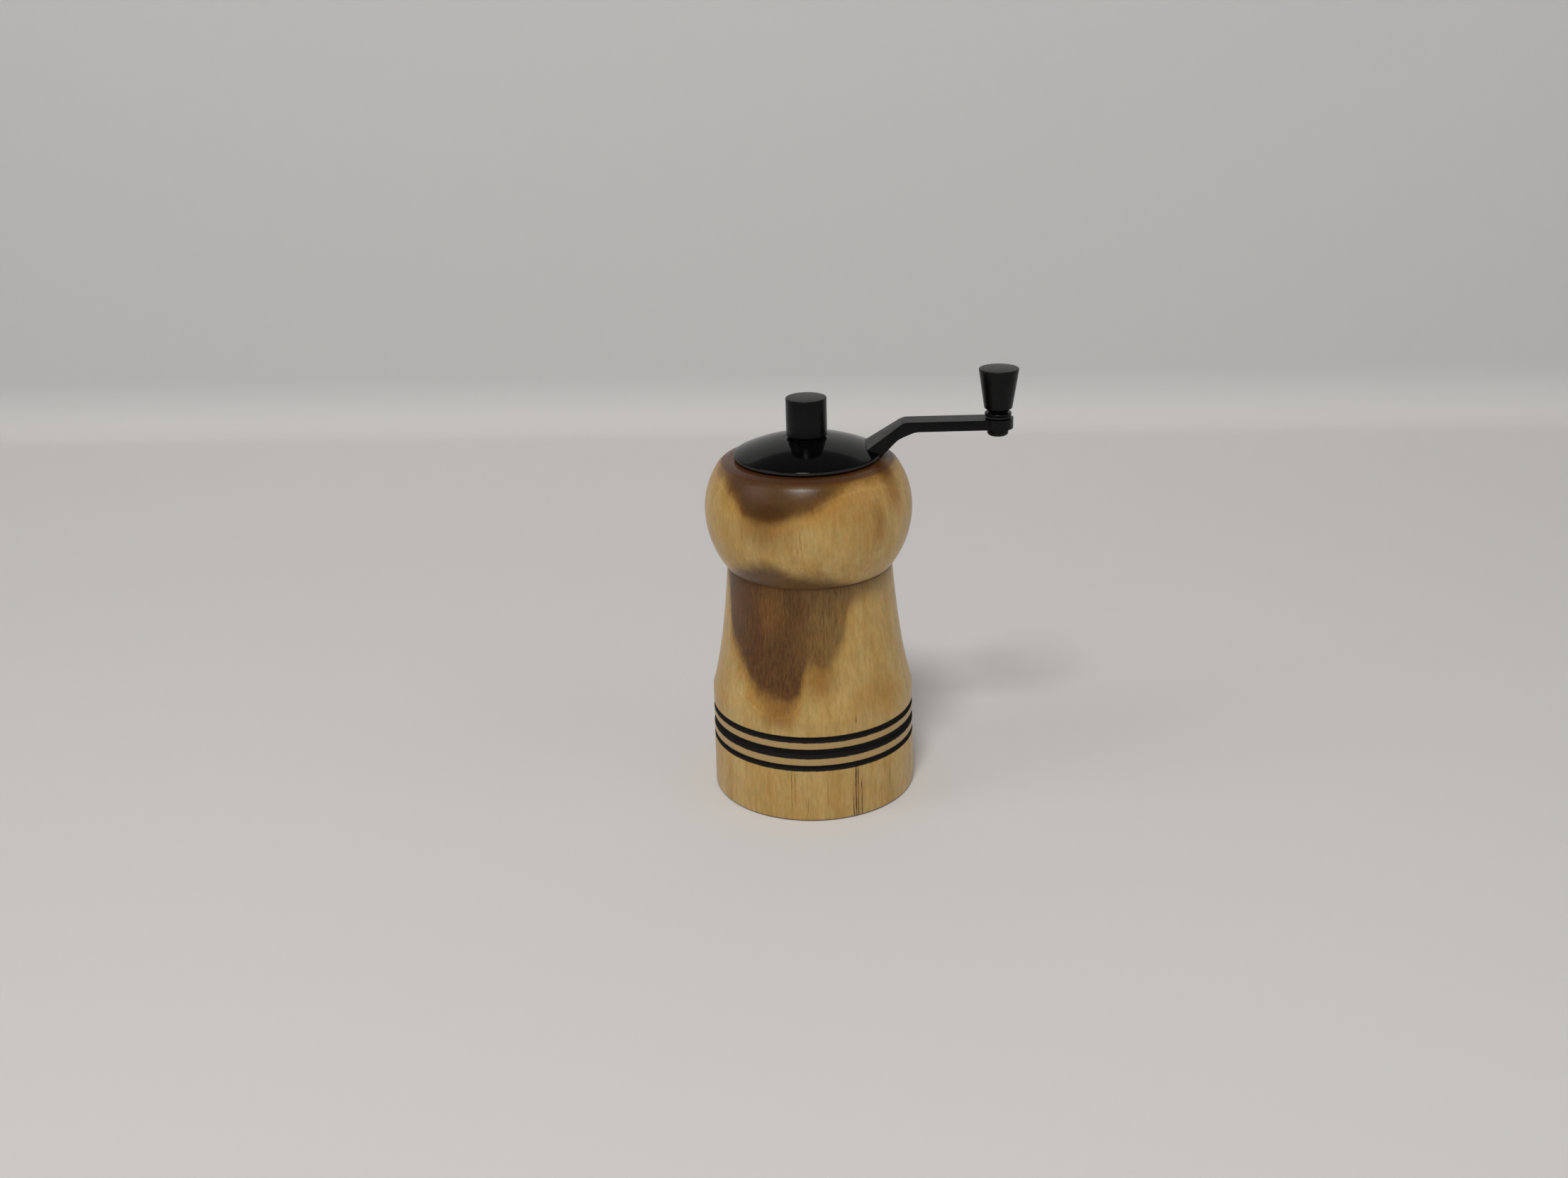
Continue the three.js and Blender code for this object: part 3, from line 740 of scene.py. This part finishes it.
# On the dome's lip the lighter band is a painted reflection of the wood as well as rubbed paint.
gloss_black = lacquer_material(
    "gloss_black_enamel", AXIS, gloss=0.07, wear=0.05, specular=0.16,
    wear_and_reflection_edge=(21.95, 108.0, 108.85, 0.62),
)
satin_black = satin_enamel("satin_black_enamel", "adjusting_knob", AXIS, 5.95)
handle_black = satin_enamel("satin_black_handle", "crank_knob", KNOB_AXIS, 5.75)
nylon_black = nylon_material()
steel = metal_material("machined_steel", (0.46, 0.46, 0.47), (0.33, 0.33, 0.34), 0.22)
aluminium = metal_material("satin_aluminium", (0.66, 0.67, 0.68), (0.52, 0.53, 0.54), 0.28)
brass = metal_material("turned_brass", (0.60, 0.42, 0.14), (0.42, 0.28, 0.09), 0.22)


def place_piece(piece, body, material, slot, *nodes):
    """Gives the piece its finish and its body, and hides the CAD nodes that it stands for."""
    piece.data.materials.clear()
    piece.data.materials.append(material)
    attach(piece, body)
    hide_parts(*nodes)


# ---------------------------------------------------------------- turned wood pieces

BORE = 13.5
RECESS, RECESS_TOP = 20.5, 15
SOCKET, SOCKET_FLOOR = 18.5, 62
TENON = 18.2
BUSH_SEAT, BUSH_SEAT_FLOOR = 19.0, 97.3
BASE_RADIUS = radius_of("lower_body")
SHOULDER_RADIUS, SHOULDER_Z = 31.5, 33.0
WAIST_RADIUS = 25.45


def base_surface(z):
    """Radius of the body's outside, which narrows evenly from the foot up to the shoulder."""
    return BASE_RADIUS + (SHOULDER_RADIUS - BASE_RADIUS) * z / SHOULDER_Z


def groove_points(z, width, depth):
    """A round-bottomed groove with softened lips."""
    half = width / 2
    return [
        (base_surface(z - half), z - half, 0.25),
        (base_surface(z) - depth, z - half * 0.55, 0.4),
        (base_surface(z) - depth, z + half * 0.55, 0.4),
        (base_surface(z + half), z + half, 0.25),
    ]


def lower_body():
    """The body with its grooves, hollowed by the recess below, the bore and the head's socket."""
    top = heights("lower_body")[1]
    outline = [(RECESS, 0, 0.6), (BASE_RADIUS - 0.02, 0, 0.7)]
    for groove in GROOVES:
        outline += groove_points(*groove)
    outline.append((SHOULDER_RADIUS, SHOULDER_Z, 1.5))
    outline += bezier_points((SHOULDER_RADIUS - 0.05, 34), (27.6, 47), (WAIST_RADIUS, top - 0.2), 28)
    outline += [
        (WAIST_RADIUS - 0.1, top + 0.1), (SOCKET, top + 0.1), (SOCKET, SOCKET_FLOOR),
        (BORE, SOCKET_FLOOR, 0.3), (BORE, RECESS_TOP, 0.4), (RECESS, RECESS_TOP, 0.5),
    ]
    return turned("lower_body_wood", outline, segments=192)


def head():
    """The bulb of two arcs, with its tenon below and the seat of the mouth's bush on top."""
    low, top = heights("head")
    widest_z, widest = 92.0, radius_of("head")
    lower_arc, upper_arc = 29, 23.5
    outline = [(BORE, low, 0.3), (TENON, low, 0.4), (TENON, SEAM_Z), (WAIST_RADIUS, SEAM_Z)]
    outline += arc_points(widest - lower_arc, widest_z, lower_arc, SEAM_Z + 0.15, widest_z, 24)
    outline += arc_points(widest - upper_arc, widest_z, upper_arc, widest_z, 105.8, 20)[1:]
    outline += [
        (25.9, 106.8, 1.0), (24.0, top - 0.05, 1.5), (BUSH_SEAT, top, 0.5), (BUSH_SEAT, BUSH_SEAT_FLOOR),
        (BORE, BUSH_SEAT_FLOOR, 0.4),
    ]
    return turned("head_wood", outline, segments=192)


def mouth_collar():
    """The bush that the cap's spigot turns in."""
    low, top = heights("mouth_collar")
    outline = [(15.2, low, 0.3), (18.7, low, 0.3), (18.7, top, 0.4), (15.2, top, 0.9)]
    return turned("mouth_bush", outline)


place_piece(lower_body(), "mill_body", wood_finish, "wood", "lower_body")
place_piece(head(), "mill_body", wood_finish, "wood", "head")
place_piece(mouth_collar(), "mill_body", nylon_black, "nylon", "mouth_collar")


# ---------------------------------------------------------------- cap, knobs and crank

ARM_HALF, FOOT_HALF = 3.5, 6.0
ARM_TOP, ARM_UNDER = 118.1, 115.05
TAIL_X, FOOT_X, BEND_X = 5.2, 17.75, 29.0
FOOT_TOP, TAIL_TOP, TAIL_UNDER = 110.5, 109.9, 107.95
EYE_X = (KNOB_AXIS - AXIS).x / MM
PIN_HOLE = 2.2
CLEAR, SNUG = 0.3, 0.1
SCREW_X = 9.0


def cap_dome():
    """A dome with a rounded lip and a spigot below, cut out for the arm's tail and foot."""
    top = heights("cap_dome")[1]
    hole, crown_start, crown_end, crown_steps = 3.8, 6.7, 21.35, 28
    rim_radius, rim_z, crown_z = 22.0, 109.14, 114.1
    lip_radius, under, ceiling = 22.18, 107.9, 110.2
    spigot, spigot_bore, spigot_end = 14.9, 12.9, 100
    rise = crown_z - rim_z
    sphere = (rim_radius**2 + rise**2) / (2 * rise)
    crown = []
    for i in range(crown_steps + 1):
        r = crown_start + (crown_end - crown_start) * i / crown_steps
        crown.append((r, crown_z - sphere + math.sqrt(sphere**2 - r * r)))
    outline = [
        (hole, top - 0.05, 0.2), (6.5, top - 0.05), *crown, (lip_radius, 109.03, 0.55),
        (lip_radius, 108.2, 0.3), (21.8, under, 0.3), (spigot, under), (spigot, spigot_end, 0.5),
        (spigot_bore, spigot_end, 0.5), (spigot_bore, ceiling, 0.4), (hole, ceiling, 0.3),
    ]
    shell = turned("dome", outline, segments=192)
    boss = rod_piece("boss", 3, under, ceiling + 0.4, AXIS - Vector((SCREW_X * MM, 0, 0)))
    combine(shell, boss, operation="UNION")
    half = ARM_HALF + CLEAR
    groove = plan_prism("groove", [(TAIL_X - CLEAR, half), (FOOT_X, half)], TAIL_UNDER - CLEAR, ceiling)
    notch = [(FOOT_X - SNUG, FOOT_HALF + SNUG), (BEND_X, ARM_HALF + SNUG)]
    return combine(shell, groove, plan_prism("notch", notch, 106, 114))


def crank_arm():
    """One casting: a tail under the dome, a foot in its rim, a rising part, a level run and an eye."""
    slope = (ARM_TOP - FOOT_TOP) / (BEND_X - FOOT_X)
    under_bend = bezier_points((26.4, 112.2), (27.0, 112.8), (27.8, 113.15), 5)
    level = bezier_points((31.4, 114.65), (32.4, ARM_UNDER), (33.8, ARM_UNDER), 5)
    down_slope = (BEND_X - 1.2, ARM_TOP - 1.2 * slope)
    top_bend = bezier_points((BEND_X + 1.5, ARM_TOP), (BEND_X, ARM_TOP), down_slope, 8)
    side = [
        (TAIL_X, TAIL_UNDER), (21.9, TAIL_UNDER), *under_bend, *level, (EYE_X, ARM_UNDER),
        (EYE_X, ARM_TOP), *top_bend, (FOOT_X, FOOT_TOP), (FOOT_X, TAIL_TOP), (TAIL_X, TAIL_TOP),
    ]
    widths = [
        (TAIL_X - 1, ARM_HALF), (FOOT_X, ARM_HALF), (FOOT_X, FOOT_HALF), (BEND_X, ARM_HALF),
        (EYE_X + 1, ARM_HALF),
    ]
    bar = side_prism("arm", side, FOOT_HALF + 1)
    combine(bar, plan_prism("arm_plan", widths, 106, 120), operation="INTERSECT")
    eye = rod_piece("eye", 4.6, ARM_UNDER, ARM_TOP, KNOB_AXIS, 64)
    combine(bar, eye, operation="UNION")
    combine(bar, rod_piece("eye_hole", PIN_HOLE, 112, 120, KNOB_AXIS))
    return bevelled(bar, 0.42)


def adjusting_knob():
    """A straight cylinder with a hole below for its insert and the end of the shaft."""
    low, top = heights("adjusting_knob")
    side, insert_hole, insert_top, shaft_hole, shaft_top = 6.15, 4.3, 121.5, 2.7, 123.8
    outline = [
        (0, top), (side, top, 0.3), (side, low + 0.5, 0.3), (side - 0.5, low, 0.2), (insert_hole, low),
        (insert_hole, insert_top), (shaft_hole, insert_top), (shaft_hole, shaft_top), (0, shaft_top),
    ]
    return turned("grind_knob_black", outline)


def crank_knob():
    """A knob that tapers down to a narrow neck, with a blind hole for its pin."""
    low, top = heights("crank_knob")
    hole_top = 128.9
    outline = [
        (0, top), (6.0, top, 0.28), (4.2, low + 1.1, 0.2), (3.12, low + 0.3, 0.2), (3.1, low, 0.1),
        (PIN_HOLE, low), (PIN_HOLE, hole_top), (0, hole_top),
    ]
    return turned("crank_knob_black", outline, KNOB_AXIS)


def knob_pin():
    """A rivet with its round head under the arm's eye."""
    low, top = heights("knob_pin")
    rivet, shank, shoulder = 3.2, 1.9, ARM_UNDER - CLEAR
    outline = [
        (0, low), (rivet, low, 1.0), (rivet, shoulder, 0.2), (shank, shoulder), (shank, top, 0.3),
        (0, top),
    ]
    return turned("crank_pin", outline, KNOB_AXIS, 64)


def pin_ring(name, node):
    """A ring with rounded outer edges on the knob's pin."""
    low, top = heights(node)
    outer = radius_of(node)
    edge = min(0.3, (top - low) * 0.4)
    outline = [(PIN_HOLE, low), (outer, low, edge), (outer, top, edge), (PIN_HOLE, top)]
    return turned(name, outline, KNOB_AXIS, 64)


place_piece(cap_dome(), "crank_cap", gloss_black, "gloss_black", "cap_dome")
place_piece(crank_arm(), "crank_cap", satin_black, "satin_black", "crank_arm")
place_piece(adjusting_knob(), "grind_knob", satin_black, "satin_black", "adjusting_knob")
place_piece(crank_knob(), "crank_handle", handle_black, "satin_black", "crank_knob")
place_piece(knob_pin(), "crank_handle", handle_black, "satin_black", "knob_pin")
collar = pin_ring("crank_knob_collar", "knob_collar")
place_piece(collar, "crank_handle", handle_black, "satin_black", "knob_collar")
washer = pin_ring("crank_knob_washer", "knob_washer")
place_piece(washer, "crank_cap", nylon_black, "nylon", "knob_washer")


# ---------------------------------------------------------------- spring between seat and rotor


def pressure_spring():
    """A coil of round wire whose end turns lie closer together."""
    wire, turns, steps, sides = 0.45, 5, 36, 12
    even, eased = 0.72, 0.28
    low, high = heights("pressure_spring")
    coil = radius_of("pressure_spring") - wire
    made = bmesh.new()
    rings = []
    for i in range(turns * steps + 1):
        t = i / (turns * steps)
        rise = even * t + eased * t * t * (3 - 2 * t)
        centre_z = low + wire + (high - low - 2 * wire) * rise
        turn = Matrix.Rotation(2 * math.pi * turns * t, 4, "Z")
        ring = []
        for k in range(sides):
            a = 2 * math.pi * k / sides
            point = turn @ Vector((coil + wire * math.cos(a), 0, centre_z + wire * math.sin(a)))
            ring.append(made.verts.new(AXIS + point * MM))
        rings.append(ring)
    for near, far in zip(rings, rings[1:]):
        for k in range(sides):
            n = (k + 1) % sides
            made.faces.new((near[k], near[n], far[n], far[k]))
    made.faces.new(rings[0])
    made.faces.new(rings[-1])
    return finish_mesh("spring_coil", made)


spring = pressure_spring()
spring.data.materials.append(steel)
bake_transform(spring)
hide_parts("pressure_spring")


# ---------------------------------------------------------------- CAD nodes that stay

finish_of = {
    "steel": steel,
    "aluminium": aluminium,
    "brass": brass,
    "nylon": nylon_black,
    "gloss_black": gloss_black,
    "satin_black": satin_black,
    "wood": wood_finish,
}
slot_of = {row["node"]: row["material_slot"] for row in frame["record"]["subparts"]}
for node, part in frame["nodes"].items():
    if not part.hide_render:
        part.data.materials.clear()
        part.data.materials.append(finish_of[slot_of[node]])


# ---------------------------------------------------------------- floor, light and camera


WALL_BEND = 0.03  # radius of the bend between floor and wall
HORIZON, ZENITH = 0.31, 0.15  # strength of the light from all round and from above


def stage_material():
    """Pale paper, with painted shade that makes it a little darker where it rises into the wall."""
    paper = Shader("studio_paper")
    place = paper.node("ShaderNodeTexCoord").outputs["Object"]
    tone = paper.noise(place, 1.2, 2)
    height = paper.node("ShaderNodeSeparateXYZ")
    paper.feed(height.inputs[0], place)
    floor_tone = paper.mix(tone, (0.79, 0.765, 0.745), (0.81, 0.79, 0.77))
    # Painted shade: the wall gets a darker tone than the floor's paper.
    wall_shade_tone = (0.68, 0.68, 0.67)
    on_wall = paper.step(height.outputs["Z"], 0.0, WALL_BEND)
    paper.set(Base_Color=paper.mix(on_wall, floor_tone, wall_shade_tone), Roughness=0.9)
    return paper.material


def studio_sweep():
    """A pale floor that turns up into a wall behind the mill, a little nearer on the right."""
    wall_y, side, front, top, steps = 0.42, 6.0, -6.0, 0.5, 16
    line = [(front, 0.0), (wall_y - WALL_BEND, 0.0)]
    for i in range(1, steps + 1):
        a = math.pi / 2 * i / steps
        line.append((wall_y - WALL_BEND + WALL_BEND * math.sin(a), WALL_BEND - WALL_BEND * math.cos(a)))
    line.append((wall_y, top))
    made = bmesh.new()
    left = [made.verts.new((-side, y, z)) for y, z in line]
    right = [made.verts.new((side, y, z)) for y, z in line]
    for i in range(len(line) - 1):
        made.faces.new((left[i], right[i], right[i + 1], left[i + 1]))
    sweep = finish_mesh("studio_sweep", made, 60)
    sweep.data.materials.append(stage_material())
    sweep.rotation_euler.z = math.radians(-3)


def area_light(name, place, target, size, power, colour):
    """A round lamp that faces the target, with its power in watts."""
    lamp = bpy.data.lights.new(name, "AREA")
    lamp.shape = "DISK"
    lamp.size = size
    lamp.energy = power
    lamp.color = colour
    made = bpy.data.objects.new(name, lamp)
    made.location = place
    made.rotation_mode = "QUATERNION"
    made.rotation_quaternion = (Vector(target) - Vector(place)).to_track_quat("-Z", "Y")
    bpy.context.scene.collection.objects.link(made)


def studio_air():
    """Soft light from all round the horizon that fades to a dark ceiling."""
    world = bpy.data.worlds.new("studio_air")
    world.use_nodes = True
    tree = world.node_tree
    direction = tree.nodes.new("ShaderNodeTexCoord").outputs["Generated"]
    parts = tree.nodes.new("ShaderNodeSeparateXYZ")
    tree.links.new(direction, parts.inputs[0])
    ceiling = tree.nodes.new("ShaderNodeMapRange")
    ceiling.interpolation_type = "SMOOTHSTEP"
    tree.links.new(parts.outputs["Z"], ceiling.inputs["Value"])
    for name, value in (("From Min", 0.45), ("From Max", 0.8), ("To Min", HORIZON), ("To Max", ZENITH)):
        ceiling.inputs[name].default_value = value
    background = tree.nodes["Background"]
    background.inputs["Color"].default_value = (0.95, 0.97, 1.0, 1)
    tree.links.new(ceiling.outputs[0], background.inputs["Strength"])
    bpy.context.scene.world = world


def studio_light():
    """A key from above in front, and weak fill from both sides."""
    studio_air()
    area_light("key", (-0.17, -0.76, 1.27), (0, 0, 0.05), 0.36, 9.4, (1.0, 0.985, 0.965))
    area_light("left", (-1.1, -0.35, 1.0), (0, 0, 0.05), 0.7, 1.9, (1.0, 0.99, 0.98))
    area_light("right", (1.2, -0.6, 0.75), (0, 0, 0.06), 1.2, 1.4, (1.0, 0.99, 0.97))
    bpy.context.scene.view_settings.view_transform = "Standard"


def camera():
    """A camera in front that looks down at the mill."""
    lens = bpy.data.cameras.new("camera")
    lens.sensor_width = 36
    lens.lens = 37.3
    lens.clip_start = 0.01
    made = bpy.data.objects.new("camera", lens)
    pitch, yaw, roll = (math.radians(a) for a in (21.43, -1.0, -1.725))
    place = AXIS + Vector((0, -0.4714, 0.2496))
    heading = Matrix.Rotation(-yaw, 4, "Z")
    tilt = Matrix.Rotation(math.pi / 2 - pitch, 4, "X")
    bank = Matrix.Rotation(roll, 4, "Z")
    made.matrix_world = Matrix.Translation(place) @ heading @ tilt @ bank
    bpy.context.scene.collection.objects.link(made)
    bpy.context.scene.camera = made


studio_sweep()
studio_light()
camera()
